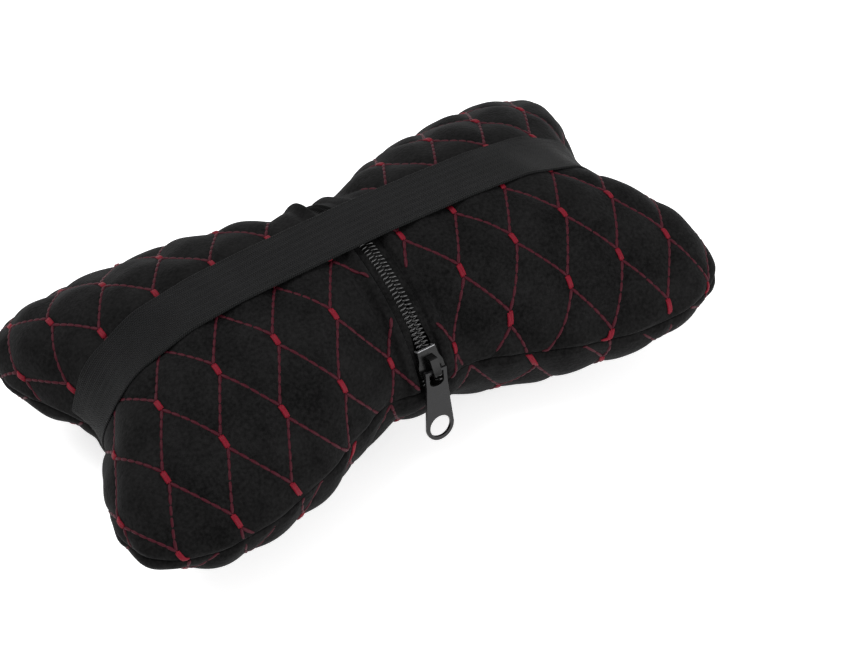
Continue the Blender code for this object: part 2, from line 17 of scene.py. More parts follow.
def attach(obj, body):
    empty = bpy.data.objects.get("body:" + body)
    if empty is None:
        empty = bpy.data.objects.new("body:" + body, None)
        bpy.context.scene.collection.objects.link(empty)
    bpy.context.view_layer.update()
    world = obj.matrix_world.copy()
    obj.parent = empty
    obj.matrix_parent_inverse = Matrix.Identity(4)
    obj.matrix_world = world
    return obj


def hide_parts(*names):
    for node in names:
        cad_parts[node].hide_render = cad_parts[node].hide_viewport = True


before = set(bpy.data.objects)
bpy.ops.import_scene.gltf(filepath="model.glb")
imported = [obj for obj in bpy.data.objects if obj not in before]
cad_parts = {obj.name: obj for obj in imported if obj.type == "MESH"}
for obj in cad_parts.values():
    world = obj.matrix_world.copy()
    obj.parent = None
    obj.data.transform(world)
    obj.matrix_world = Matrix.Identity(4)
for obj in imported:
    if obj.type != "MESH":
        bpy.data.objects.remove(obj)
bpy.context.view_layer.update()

# %% [markdown]
# ## The camera
# The photograph looks down on the pillow from the near side, a little from the left. A camera is
# placed by the point that it looks at, its distance, two angles and a small roll. Its lens follows
# from the picture's width in pixels and the focal length in pixels.

# %% Camera
PICTURE = (860, 672)
FOCAL_PIXELS = 1876.0
LOOK_AT = np.array([0.01420, -0.03004, 0.041])
CAMERA_DISTANCE = 0.7405
CAMERA_HEIGHT_ANGLE = math.radians(43.26)
CAMERA_TURN = math.radians(-32.30)
CAMERA_ROLL = math.radians(-2.77)
SENSOR = 36.0
CLIP_START = 0.01


def camera_axes(turn, lift, roll):
    """Right, up and backward directions of a camera from its turn, its lift and its roll."""
    level = math.cos(lift)
    back = np.array([math.sin(turn) * level, -math.cos(turn) * level, math.sin(lift)])
    right = np.cross([0.0, 0.0, 1.0], back)
    right /= np.linalg.norm(right)
    up = np.cross(back, right)
    turned_right = math.cos(roll) * right + math.sin(roll) * up
    turned_up = -math.sin(roll) * right + math.cos(roll) * up
    return turned_right, turned_up, back


def add_object(name, data):
    """A new object in the scene, at the origin and unturned."""
    added = bpy.data.objects.new(name, data)
    bpy.context.scene.collection.objects.link(added)
    return added


camera_data = bpy.data.cameras.new("camera")
camera = add_object("camera", camera_data)
axes = camera_axes(CAMERA_TURN, CAMERA_HEIGHT_ANGLE, CAMERA_ROLL)
placement = np.eye(4)
placement[:3, :3] = np.array(axes).T
placement[:3, 3] = LOOK_AT + CAMERA_DISTANCE * axes[2]
camera.matrix_world = Matrix(placement.tolist())
camera_data.sensor_width = SENSOR
camera_data.lens = FOCAL_PIXELS / PICTURE[0] * SENSOR
camera_data.clip_start = CLIP_START
bpy.context.scene.camera = camera
print("camera at", np.round(placement[:3, 3], 3), "lens", round(camera_data.lens, 1))

# %% [markdown]
# ## Shader maths
# Each finish is a small program: noise, waves and masks are added, multiplied and mixed. One class
# wraps a node's output, so that the sums read as Python, and another one builds the material.


# %% Helpers for finishes
class Signal:
    """A value or a colour that changes over a surface: the output of a node."""

    def __init__(self, finish, output):
        self.finish = finish
        self.output = output

    def __add__(self, other):
        return self.finish.maths("ADD", self, other)

    def __radd__(self, other):
        return self.finish.maths("ADD", other, self)

    def __sub__(self, other):
        return self.finish.maths("SUBTRACT", self, other)

    def __rsub__(self, other):
        return self.finish.maths("SUBTRACT", other, self)

    def __mul__(self, other):
        return self.finish.maths("MULTIPLY", self, other)

    def __rmul__(self, other):
        return self.finish.maths("MULTIPLY", other, self)

    def __truediv__(self, other):
        return self.finish.maths("DIVIDE", self, other)

    def wave(self):
        """Sine of the value."""
        return self.finish.maths("SINE", self)

    def size(self):
        """The value without its sign."""
        return self.finish.maths("ABSOLUTE", self)

    def wrapped(self, length):
        """The value's remainder in steps of length."""
        return self.finish.maths("FLOORED_MODULO", self, length)

    def contrast(self, strength):
        """The value drawn away from one half, so many times as far."""
        return (self - 0.5) * strength + 0.5


class Finish:
    """A material in the making, with its Principled shader."""

    def __init__(self, name, **constants):
        self.material = bpy.data.materials.new(name)
        self.material.use_nodes = True
        self.tree = self.material.node_tree
        self.shader = self.tree.nodes["Principled BSDF"]
        for socket, value in constants.items():
            self.set(socket.replace("_", " "), value)

    def set(self, socket, value):
        """Give a socket of the shader a constant or a link."""
        self._feed(self.shader.inputs[socket], value)

    def _feed(self, target, value):
        if isinstance(value, Signal):
            self.tree.links.new(value.output, target)
        elif hasattr(value, "__len__") and len(value) == 3 and target.type == "RGBA":
            target.default_value = (*value, 1.0)
        else:
            target.default_value = value

    def node(self, kind, settings=None, inputs=None, output=0):
        """Add a node, apply its settings, feed its sockets and return one of its outputs."""
        made = self.tree.nodes.new(kind)
        for key, value in (settings or {}).items():
            setattr(made, key, value)
        for key, value in (inputs or {}).items():
            self._feed(made.inputs[key], value)
        return Signal(self, made.outputs[output])

    def maths(self, operation, *values):
        """A Math node on numbers and signals."""
        return self.node("ShaderNodeMath", {"operation": operation}, dict(enumerate(values)))

    def place(self):
        """Object coordinates in metres."""
        return self.node("ShaderNodeTexCoord", output="Object")

    def part(self, vector, axis):
        """One coordinate of a vector."""
        return self.node("ShaderNodeSeparateXYZ", inputs={"Vector": vector}, output=axis)

    def uv(self):
        """The piece's own flat coordinates, as two signals."""
        flat = self.node("ShaderNodeUVMap", {"uv_map": "flat"})
        return self.part(flat, "X"), self.part(flat, "Y")

    def noise(self, scale, detail=2.0):
        """Cloudy noise; scale counts its lumps in a metre."""
        inputs = {"Vector": self.place(), "Scale": scale, "Detail": detail}
        return self.node("ShaderNodeTexNoise", inputs=inputs)

    def mix(self, share, first, second):
        """Blend of two colours."""
        settings = {"data_type": "RGBA"}
        return self.node("ShaderNodeMix", settings, {0: share, 6: first, 7: second}, output=2)

    def bump(self, height, distance, strength=1.0):
        """Raise the surface by a height signal times a distance in metres."""
        inputs = {"Height": height, "Distance": distance, "Strength": strength}
        self.set("Normal", self.node("ShaderNodeBump", inputs=inputs))


# %% [markdown]
# ## Velour, thread and the other finishes
# Velour is a very dark cloth with a short pile. Its pile catches light at the rim, so it gets a
# sheen, hardly any gloss and a fine bump. The thread is crimson with a silky gloss. Nylon and
# enamel are glossy, and the elastic has a fine woven rib that follows its own flat coordinates.

# %% Velour
VELOUR_DARK = (0.0012, 0.0012, 0.0012)
VELOUR_LIGHT = (0.0094, 0.0092, 0.0093)
VELOUR_CONTRAST = 3.2
CLOUD_SCALE, PILE_SCALE, TIP_SCALE = 70.0, 750.0, 2200.0
PILE_DEPTH = 0.0005


def velour(name):
    """Black pile cloth: cloudy tone, soft sheen and a fine bump of pile."""
    finish = Finish(name, Roughness=0.8, Specular_IOR_Level=0.05)
    finish.set("Sheen Weight", 0.03)
    finish.set("Sheen Roughness", 0.35)
    finish.set("Sheen Tint", (0.85, 0.86, 0.9))
    cloud = finish.noise(CLOUD_SCALE, 4.0)
    pile = finish.noise(PILE_SCALE, 4.0)
    tone = (0.45 * cloud + 0.55 * pile).contrast(VELOUR_CONTRAST)
    finish.set("Base Color", finish.mix(tone, VELOUR_DARK, VELOUR_LIGHT))
    finish.bump(pile * 0.8 + finish.noise(TIP_SCALE, 1.0) * 0.4, PILE_DEPTH, 0.6)
    return finish.material


COVER_CLOTH = velour("black_velour")
print("velour made")


# %% Thread
STRAND_SCALE = 2600.0
STRAND_DEPTH = 0.0001


def thread(name, dark, light):
    """Twisted polyester: two tones and a silky gloss."""
    finish = Finish(name, Roughness=0.55, Specular_IOR_Level=0.12)
    strands = finish.noise(STRAND_SCALE, 1.0)
    finish.set("Base Color", finish.mix(strands, dark, light))
    finish.bump(strands, STRAND_DEPTH, 0.6)
    return finish.material


LINE_THREAD = thread("red_thread", (0.021, 0.0020, 0.005), (0.056, 0.0038, 0.010))
KNOT_THREAD = thread("red_knot", (0.084, 0.002, 0.007), (0.185, 0.0055, 0.017))
print("thread made")


# %% Elastic
STRAP_RIB = 0.00085
RIB_LEAN = 1.5
STRAP_WIDTH = 0.0250
SELVAGE = 0.0013
SELVAGE_LINE = 0.12 * SELVAGE
ELASTIC_DARK = (0.0006, 0.0006, 0.0007)
ELASTIC_LIGHT = (0.0090, 0.0092, 0.0095)
ELASTIC_LINE = (0.002, 0.002, 0.002)
ELASTIC_CONTRAST = 2.4
WEAVE_DEPTH = 0.0003


def elastic(name):
    """Woven elastic: fine ribs in a herringbone, and a dark line along each selvage.

    Ribs are a sine along the strap, moved on by a zigzag across it, and wales are a sine across.
    """
    finish = Finish(name, Roughness=0.7, Specular_IOR_Level=0.09)
    finish.set("Sheen Weight", 0.02)
    finish.set("Sheen Roughness", 0.4)
    along, across = finish.uv()
    zigzag = ((across / (4 * STRAP_RIB)).wrapped(1.0) - 0.5).size() * 2.0
    ribs = ((along / STRAP_RIB + zigzag * RIB_LEAN) * (2 * math.pi)).wave() * 0.5 + 0.5
    wales = ((across / STRAP_RIB) * (2 * math.pi)).wave() * 0.5 + 0.5
    edge = ((across.size() - (STRAP_WIDTH / 2 - SELVAGE)) / SELVAGE_LINE).size()
    line = 1.0 - finish.maths("MINIMUM", edge, 1.0)
    weave = ribs * 0.6 + wales * 0.4
    tone = weave * 0.7 + finish.noise(90.0) * 0.3
    cloth = finish.mix(tone.contrast(ELASTIC_CONTRAST), ELASTIC_DARK, ELASTIC_LIGHT)
    finish.set("Base Color", finish.mix(line * 0.8, cloth, ELASTIC_LINE))
    finish.bump(weave - line * 1.5, WEAVE_DEPTH, 1.0)
    return finish.material


STRAP_CLOTH = elastic("black_elastic")
print("elastic made")


# %% Tape and nylon
# The tape's two tones are darker than the black cloth. This is painted shade in the narrow gap
# between each coil and its hem.
TAPE_SHADE_DARK, TAPE_SHADE_LIGHT = (0.0005, 0.0005, 0.0005), (0.0020, 0.0020, 0.0020)
TAPE_SCALE, TAPE_DEPTH = 2400.0, 0.0002
NYLON_DARK, NYLON_LIGHT = (0.0008, 0.0008, 0.0008), (0.002, 0.002, 0.002)
STREAK_SCALE = 1500.0
DULL_START, DULL_LENGTH, DULL_LOSS = 0.012, 0.008, 0.94


def woven_tape_in_painted_shade(name):
    """Zip tape: a tight plain weave. Its tones are darker than its own black, as painted shade of
    the gap between coil and hem.
    """
    finish = Finish(name, Roughness=0.85, Specular_IOR_Level=0.05)
    weave = finish.noise(TAPE_SCALE, 1.0)
    finish.set("Base Color", finish.mix(weave, TAPE_SHADE_DARK, TAPE_SHADE_LIGHT))
    finish.bump(weave, TAPE_DEPTH, 0.5)
    return finish.material


def nylon(name):
    """Black monofilament with faint streaks, glossy on the near side and dull behind the strap.

    The photograph shows no gleam there. The gloss is a coat, whose weight is 1 on the near side
    and falls evenly by DULL_LOSS over DULL_LENGTH, from DULL_START beyond the middle.
    """
    finish = Finish(name, Specular_IOR_Level=0.03, Coat_Roughness=0.13)
    streaks = finish.noise(STREAK_SCALE, 2.0)
    finish.set("Base Color", finish.mix(streaks, NYLON_DARK, NYLON_LIGHT))
    finish.set("Roughness", streaks * 0.3 + 0.5)
    beyond = (finish.part(finish.place(), "Y") - DULL_START) / DULL_LENGTH
    dull = finish.maths("MINIMUM", finish.maths("MAXIMUM", beyond, 0.0), 1.0)
    finish.set("Coat Weight", 1.0 - dull * DULL_LOSS)
    return finish.material


TAPE_CLOTH = woven_tape_in_painted_shade("zip_tape_weave_painted_shade")
COIL_NYLON = nylon("coil_nylon")
print("tape and nylon made")

# %% Enamel and filling
PULLER_DARK, PULLER_LIGHT = (0.008, 0.008, 0.008), (0.013, 0.013, 0.014)
WEAR_SCALE = 260.0
PEEL_SCALE, PEEL_DEPTH = 900.0, 0.00006
FILLING_DARK, FILLING_LIGHT = (0.66, 0.65, 0.62), (0.82, 0.81, 0.79)
TUFT_SCALE, TUFT_DEPTH = 180.0, 0.002


def enamel(name, dark, light, metal, gloss):
    """Black enamel on cast metal, a little worn and not quite smooth: its finish and its tone."""
    finish = Finish(name, Metallic=metal, Specular_IOR_Level=gloss)
    wear = finish.noise(WEAR_SCALE, 4.0)
    tone = finish.mix(wear, dark, light)
    finish.set("Base Color", tone)
    finish.set("Roughness", wear * 0.16 + 0.18)
    finish.bump(finish.noise(PEEL_SCALE, 2.0), PEEL_DEPTH, 0.5)
    return finish, tone


def fibre(name):
    """The hidden white filling."""
    finish = Finish(name, Roughness=0.95)
    tufts = finish.noise(TUFT_SCALE, 4.0)
    finish.set("Base Color", finish.mix(tufts, FILLING_DARK, FILLING_LIGHT))
    finish.bump(tufts, TUFT_DEPTH, 0.6)
    return finish.material


PULLER_FINISH, _ = enamel("puller_enamel", PULLER_DARK, PULLER_LIGHT, 0.35, 0.36)
FILLING = fibre("white_filling")
print("enamel and filling made")

# %% [markdown]
# ## The pillow's form
# The frame's solids follow a few sizes. The same sizes are written here, so that cloth made on a
# fine grid lies where the plain solids lie. The seam's outline is a cosine series through five
# distances from the middle. Each cover rises from the seam to its crown along radial sections.

# %% Sizes of the form
END_NOTCH, LOBE_TIP, LOBE_SIDE, SHOULDER, WAIST = 0.1160, 0.1440, 0.1040, 0.0560, 0.0538
SEAM_HEIGHT, CROWN_RISE, LOBE_RISE, SIDE_FALL = 0.040, 0.0425, 0.0085, 0.0290
BELLY_DEPTH, REST_HEIGHT, WAIST_BLEND = 0.054, 0.0012, 0.040
FULLNESS, BELLY_FULLNESS = 3.0, 0.75
SEAM_GAP = 0.0003
ZIP_RADIUS = (WAIST**2 + CROWN_RISE**2) / (2 * CROWN_RISE)
ZIP_CENTRE = SEAM_HEIGHT + CROWN_RISE - ZIP_RADIUS


def outline_radius(angle):
    """Distance of the seam from the middle: the cosine series through the five radii."""
    orders = np.arange(5)
    stations = orders * math.pi / 8
    radii = np.array([END_NOTCH, LOBE_TIP, LOBE_SIDE, SHOULDER, WAIST])
    series = np.linalg.solve(np.cos(2 * np.outer(stations, orders)), radii)
    return np.cos(2 * np.multiply.outer(angle, orders)) @ series


def cover_point(angle, reach, is_back):
    """Point of a cover at stitch level.

    angle is the direction from the middle and reach the share of the way to the seam. The back
    rises to its crown by a circular arc over the waist and by a fuller curve over the lobes.
    The front falls to a flat patch where the pillow lies on it.
    """
    angle, reach = np.broadcast_arrays(angle, reach)
    radius = outline_radius(angle) * reach
    x, y = radius * np.cos(angle), radius * np.sin(angle)
    full = np.sqrt(np.clip(1 - reach**FULLNESS, 0, None))
    if not is_back:
        full = np.sqrt(np.clip(1 - reach**BELLY_FULLNESS, 0, None))
        z = np.maximum(SEAM_HEIGHT - SEAM_GAP / 2 - BELLY_DEPTH * full, REST_HEIGHT)
        return np.stack([x, y, z], -1)
    flank = math.sqrt(ZIP_RADIUS**2 - WAIST**2)
    arc = (np.sqrt(ZIP_RADIUS**2 - (WAIST * reach) ** 2) - flank) / (ZIP_RADIUS - flank)
    waist = np.exp(-((x / WAIST_BLEND) ** 2))
    side = LOBE_SIDE * math.sin(math.pi / 4)
    rise = CROWN_RISE + LOBE_RISE * (x / END_NOTCH) ** 2 - (1 - waist) * SIDE_FALL * (y / side) ** 2
    z = SEAM_HEIGHT + SEAM_GAP / 2 + rise * (waist * arc + (1 - waist) * full)
    return np.stack([x, y, z], -1)


def cover_normal(angle, reach, is_back):
    """Outward direction of a cover: the cross product of two short steps on it."""
    step = 0.002
    near = np.clip(reach - step, 0.02, None)
    far = near + step
    outward = cover_point(angle, far, is_back) - cover_point(angle, near, is_back)
    around = cover_point(angle + step, far, is_back) - cover_point(angle - step, far, is_back)
    normal = np.cross(outward, around)
    normal /= np.linalg.norm(normal, axis=-1, keepdims=True)
    return normal if is_back else -normal


print("zip arc radius", round(ZIP_RADIUS, 5), "centre height", round(ZIP_CENTRE, 5))

# %% [markdown]
# ## Flat cloth
# Quilted cloth is stitched flat and then pulled over the form, so the diamonds are even on the
# cloth and not in plan. A place on the cloth is its direction from the middle and its length of
# cloth along the radial section. Two tables turn reach into length of cloth and back.

# %% Cloth tables
TABLE_ANGLES = np.linspace(0, math.pi / 2, 361)
TABLE_TURNS = np.linspace(0, math.pi / 2, 181)
TABLE_SHARES = np.linspace(0, 1, 257)


def cloth_tables(is_back):
    """Length of cloth by angle and reach, its whole length by angle, and reach by share of it.

    The form is the same in its four quarters, so one quarter is enough.
    """
    reach = np.sin(TABLE_TURNS)
    points = cover_point(TABLE_ANGLES[:, None], reach[None], is_back)
    steps = np.linalg.norm(np.diff(points, axis=1), axis=-1)
    lengths = np.concatenate([np.zeros((len(steps), 1)), np.cumsum(steps, axis=1)], axis=1)
    turns = [np.interp(TABLE_SHARES, row / row[-1], TABLE_TURNS) for row in lengths]
    return lengths, lengths[:, -1], np.array(turns)


def look_up(table, row, column):
    """Value of a table between its entries: the blend of the four nearest ones."""
    row = np.clip(row, 0, table.shape[0] - 1.001)
    column = np.clip(column, 0, table.shape[1] - 1.001)
    r, c = row.astype(int), column.astype(int)
    fr, fc = row - r, column - c
    upper = table[r, c] * (1 - fc) + table[r, c + 1] * fc
    lower = table[r + 1, c] * (1 - fc) + table[r + 1, c + 1] * fc
    return upper * (1 - fr) + lower * fr


CLOTH = {True: cloth_tables(True), False: cloth_tables(False)}


def quarter_row(u, v):
    """Row of the tables for a direction, folded into the first quarter."""
    return np.arctan2(np.abs(v), np.abs(u)) / (math.pi / 2) * (len(TABLE_ANGLES) - 1)


def cloth_to_form(u, v, is_back):
    """Angle, reach and distance to the seam along the cloth, for a place on the flat cloth."""
    _, whole, turns = CLOTH[is_back]
    row = quarter_row(u, v)
    full = np.interp(row, np.arange(len(whole)), whole)
    away = np.hypot(u, v)
    share = np.clip(away / full, 0, 1) * (len(TABLE_SHARES) - 1)
    return np.arctan2(v, u), np.sin(look_up(turns, row, share)), full - away


def plan_to_cloth(x, y, is_back):
    """Place on the flat cloth of a place in plan."""
    lengths, _, _ = CLOTH[is_back]
    angle = np.arctan2(y, x)
    reach = np.clip(np.hypot(x, y) / outline_radius(angle), 0, 1)
    column = np.arcsin(reach) / (math.pi / 2) * (len(TABLE_TURNS) - 1)
    away = look_up(lengths, quarter_row(x, y), column)
    return away * np.cos(angle), away * np.sin(angle)


print("cloth from crown to seam at the waist", round(float(CLOTH[True][1][-1]), 4))

# %% [markdown]
# ## The quilting
# Two families of zigzag stitch lines make the diamonds. Where two lines meet they run side by side
# for a few millimetres along the pillow's width, which shows as a bold red knot. That is a warp of
# the lengthways coordinate: it nearly stands still along each knot and runs on evenly in between.
# Each cover has its own pattern: the place of one knot on the cloth and a small turn in degrees.

# %% Quilting pattern
DIAMOND_WIDTH, DIAMOND_LENGTH = 0.0248, 0.0474
QUILT_RISE = 0.0020
QUILT_ROUNDNESS = 0.54
SEAM_FADE = 0.0024
PATTERNS = {
    "left": (-0.1035, -0.0308, -0.8),
    "right": (0.0269, -0.0369, 3.2),
    "front": (0.0, 0.0233, 0.0),
}
KNOT_HALF = 0.0025
KNOT_SLOPE = 0.10
LOFT_SPREAD = 0.10
LOFT_SEEDS = (12.9, 78.2, 43.7)
WARP_TABLE = np.linspace(0, 1, 401)


def warp(place):
    """Zigzag coordinate: it hardly moves for the length of each knot and runs evenly in between."""
    hold = KNOT_HALF * 2 / DIAMOND_LENGTH
    part = place - np.floor(place)
    held = np.clip((part - hold) / (1 - 2 * hold), 0, 1)
    return np.floor(place) + (1 - KNOT_SLOPE) * held + KNOT_SLOPE * part


def to_lattice(u, v, pattern):
    """Columns across and rows along of a place on the cloth. Knots lie at whole numbers."""
    turn = math.radians(pattern[2])
    du, dv = u - pattern[0], v - pattern[1]
    across = (du * math.cos(turn) + dv * math.sin(turn)) * 2 / DIAMOND_WIDTH
    along = (dv * math.cos(turn) - du * math.sin(turn)) * 2 / DIAMOND_LENGTH
    return across, along


def from_lattice(across, along, pattern):
    """Place on the cloth of lattice coordinates."""
    turn = math.radians(pattern[2])
    du, dv = across * DIAMOND_WIDTH / 2, along * DIAMOND_LENGTH / 2
    u = pattern[0] + du * math.cos(turn) - dv * math.sin(turn)
    return u, pattern[1] + du * math.sin(turn) + dv * math.cos(turn)


def quilt_height(u, v, pattern):
    """Padding over the stitch level: a root of the product of two sines, zero on the stitch lines.

    Each diamond's loft differs a little: the broken part of a large sine of its two numbers.
    """
    across, along = to_lattice(u, v, pattern)
    bent = warp(along)
    first, second = (across + bent) / 2, (across - bent) / 2
    swell = np.abs(np.sin(math.pi * first) * np.sin(math.pi * second))
    seed = LOFT_SEEDS[0] * np.floor(first) + LOFT_SEEDS[1] * np.floor(second)
    cell = np.sin(seed) * LOFT_SEEDS[2]
    loft = 1 + LOFT_SPREAD * (cell - np.floor(cell) - 0.5)
    return QUILT_RISE * loft * swell**QUILT_ROUNDNESS


print("diamond", DIAMOND_WIDTH, "x", DIAMOND_LENGTH)

# %% [markdown]
# ## The hem beside the zip
# The two upper covers are folded under beside the zip. The fold is a soft roll, then a plain strip,
# then a groove where the quilting starts. The groove is deep on the left and shallow on the right.
# Behind the strap the left hem bulges up beside the zip and the right one is drawn down a little.

# %% Hem
HEM_EDGE = 0.0058
HEM_ROLL = 0.0021
HEM_STRIP = 0.0030
HEM_GROOVE = 0.0056
HEM_FADE = 0.0045
GROOVE_WIDTH = 0.0025
GROOVE_FILL = {"left": 0.0, "right": 0.0013}
WAVE_TURNS = np.array([0.3, 1.0, 1.7, 2.3, 2.9, 0.7])
WAVE_LENGTHS = np.array([0.019, 0.026, 0.015, 0.033, 0.022, 0.041])
WAVE_RISE = 0.0008
WAVE_SHIFT = 5
PUCKERS = 58
PUCKER_BEATS, PUCKER_DRIFT = 7, 2.2
PUCKER_REACH = 0.006
PUCKER_RISE = 0.00035
FAR_PLACE, FAR_LENGTH = 0.0275, 0.0105
FAR_RISE = {"left": 0.0038, "right": -0.0012}
FAR_START, FAR_FADE = 0.0015, 0.0150


def smooth(value):
    """Smooth step from 0 to 1: three times the square less twice the cube."""
    value = np.clip(value, 0, 1)
    return value * value * (3 - 2 * value)


def crumple(u, v, to_seam):
    """Unevenness of stuffed cloth: slow waves all over, and puckers where the seam draws it in.

    Six plane waves of unlike lengths and directions make the slow part. The puckers are a wave
    along the seam, with an uneven step, that dies away from it.
    """
    turns = WAVE_TURNS[:, None]
    lengths = WAVE_LENGTHS[:, None]
    run = (np.cos(turns) * u.ravel() + np.sin(turns) * v.ravel()) / lengths
    slow = np.sin(2 * math.pi * run + WAVE_SHIFT * turns).mean(axis=0).reshape(u.shape)
    place = np.arctan2(v, u)
    folds = np.sin(PUCKERS * place + PUCKER_DRIFT * np.sin(PUCKER_BEATS * place))
    return WAVE_RISE * slow + PUCKER_RISE * folds * np.exp(-to_seam / PUCKER_REACH)


def far_bulge(v, away, side):
    """The hem's rise behind the strap: a bell along the zip, round at the edge and fading out."""
    bell = FAR_RISE[side] * np.exp(-(((v - FAR_PLACE) / FAR_LENGTH) ** 2))
    edge = 1 - (1 - np.clip(away / FAR_START, 0, 1)) ** 2
    return bell * np.sqrt(edge) * (1 - smooth((away - FAR_START) / FAR_FADE))


def pad_height(u, v, x, to_seam, side):
    """Height of the cloth over the stitch level.

    The quilting fades out at the seam. On the back it gives way to the hem's roll and groove
    within a few millimetres of the zip, and the rise behind the strap is added.
    """
    quilt = quilt_height(u, v, PATTERNS[side]) + crumple(u, v, to_seam)
    seam = np.sqrt(np.clip(to_seam / SEAM_FADE, 0, 1))
    if side == "front":
        return quilt * seam
    away = np.abs(x) - HEM_EDGE
    onto_roll = np.clip(away / HEM_ROLL, 0, 1)
    roll = HEM_ROLL * np.sqrt(1 - (1 - onto_roll) ** 2)
    strip = 1 - smooth((away - HEM_STRIP) / (HEM_GROOVE - HEM_STRIP))
    start = smooth((away - HEM_GROOVE) / HEM_FADE)
    fill = GROOVE_FILL[side] * np.exp(-(((away - HEM_GROOVE) / GROOVE_WIDTH) ** 2))
    return (roll * strip + quilt * start + fill + far_bulge(v, away, side)) * seam


# %% [markdown]
# ## Covers on a grid
# A cover is a fan of cloth: each row of the grid runs on the flat cloth from the zip's hem, or from
# the middle on the front, to the seam. Short extra columns fold the hem down to the tape and turn
# the seam allowance inwards, so that no raw edge shows.

# %% Cover grids
HEM_STEPS = np.array([1.0, 0.8, 0.6, 0.4, 0.2])
HEM_CROWDING = 0.9
FOLD_FADE = 0.006
ALLOWANCE = 0.0035
ALLOWANCE_STEPS = np.array([0.25, 0.6, 1.0])
SEAM_SAMPLES = 2001


def spaced(count, fine_start):
    """Steps from 0 to 1, drawn together at the start by fine_start, where the hem rolls over.

    A half sine that dies away with the fourth power of the rest is taken from even steps.
    """
    even = np.linspace(0, 1, count)
    return even - fine_start * np.sin(math.pi * even) * (1 - even) ** 4


def run_length(points):
    """Length along a line of points, from its first point to each."""
    return np.concatenate([[0], np.cumsum(np.linalg.norm(np.diff(points, axis=0), axis=1))])


def seam_directions(start, end, count):
    """Directions of points spread evenly along the seam."""
    angle = np.linspace(start, end, SEAM_SAMPLES)
    radius = outline_radius(angle)
    length = run_length(np.stack([radius * np.cos(angle), radius * np.sin(angle)], -1))
    return np.interp(np.linspace(0, length[-1], count), length, angle)


def cover_grid(side, mirror, rows, columns, edge):
    """Points of one fan of cloth, from the hem or the middle to the seam, its level and normals.

    Each row is a straight line on the flat cloth. Its points are set on the form at the place that
    the cloth reaches, then raised along the normal by the padding.
    """
    is_back = side != "front"
    start = math.acos(edge / WAIST)
    angle = seam_directions(-start, start, rows)
    row = quarter_row(np.cos(angle), np.sin(angle))
    whole = np.interp(row, np.arange(len(TABLE_ANGLES)), CLOTH[is_back][1])
    seam_u, seam_v = whole * np.cos(angle), whole * np.sin(angle)
    top = float(outline_radius(start)) * math.sin(start)
    hem_y = np.linspace(-top, top, rows)
    hem_u, hem_v = plan_to_cloth(np.full(rows, edge), hem_y, is_back)
    share = spaced(columns, HEM_CROWDING if is_back else 0.0)[None]
    u = hem_u[:, None] * (1 - share) + seam_u[:, None] * share
    v = hem_v[:, None] * (1 - share) + seam_v[:, None] * share
    u = u * mirror
    theta, reach, to_seam = cloth_to_form(u, v, is_back)
    level = cover_point(theta, reach, is_back)
    normal = cover_normal(theta, reach, is_back)
    height = pad_height(u, v, level[..., 0], to_seam, side)
    return level + normal * height[..., None], level, normal


def with_folds(points, level, normal, is_back):
    """Add the hem's fold in front of the first column and the seam allowance behind the last.

    The fold goes down along the normal and gets shallow where a row is short, near the seam. The
    allowance runs level towards the middle.
    """
    inward = -level[:, -1:] * np.array([1.0, 1.0, 0.0])
    inward /= np.linalg.norm(inward, axis=-1, keepdims=True)
    steps = ALLOWANCE_STEPS[None, :, None] * ALLOWANCE
    allowance = points[:, -1:] + inward * steps
    if not is_back:
        return np.concatenate([points, allowance], axis=1)
    row_length = np.linalg.norm(points[:, -1] - points[:, 0], axis=-1)
    depth = np.clip(row_length / FOLD_FADE, 0, 1)[:, None, None] * HEM_ROLL
    fold = points[:, :1] - normal[:, :1] * HEM_STEPS[None, :, None] * depth
    return np.concatenate([fold, points, allowance], axis=1)


def grid_faces(rows, columns, flip):
    """Four-cornered faces of a grid, turned round where flip is true."""
    index = np.arange(rows * columns).reshape(rows, columns)
    corners = [index[:-1, :-1], index[:-1, 1:], index[1:, 1:], index[1:, :-1]]
    if flip:
        corners = corners[::-1]
    return np.stack(corners, -1).reshape(-1, 4)


def make_piece(name, points, face_sets, material, body, flat=None):
    """Put points and faces into a mesh and hang it on a body of the frame."""
    points = np.asarray(points).reshape(-1, 3)
    loops = np.concatenate([faces.ravel() for faces in face_sets])
    sizes = np.concatenate([np.full(len(faces), faces.shape[1]) for faces in face_sets])
    mesh = bpy.data.meshes.new(name)
    mesh.vertices.add(len(points))
    mesh.vertices.foreach_set("co", points.astype(np.float32).ravel())
    mesh.loops.add(len(loops))
    mesh.loops.foreach_set("vertex_index", loops.astype(np.int32))
    mesh.polygons.add(len(sizes))
    mesh.polygons.foreach_set("loop_start", (np.cumsum(sizes) - sizes).astype(np.int32))
    mesh.update(calc_edges=True)
    if flat is not None:
        layer = mesh.uv_layers.new(name="flat")
        layer.data.foreach_set("uv", flat.reshape(-1, 2)[loops].astype(np.float32).ravel())
    mesh.validate()
    mesh.shade_smooth()
    mesh.materials.append(material)
    piece = add_object(name, mesh)
    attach(piece, body)
    print(name, "has", int((sizes - 2).sum()), "triangles")
    return piece


# %% The three covers
BACK_ROWS, BACK_COLUMNS = 340, 240
FRONT_ROWS, FRONT_COLUMNS = 300, 160


def make_back_cover(side, mirror):
    """The quilted cover on one side of the zip."""
    points, level, normal = cover_grid(side, mirror, BACK_ROWS, BACK_COLUMNS, HEM_EDGE)
    points = with_folds(points, level, normal, True)
    faces = grid_faces(points.shape[0], points.shape[1], mirror < 0)
    cover = make_piece(f"{side}_cover", points, [faces], COVER_CLOTH, "pillow")
    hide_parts(f"back_panel_{side}")
    return points


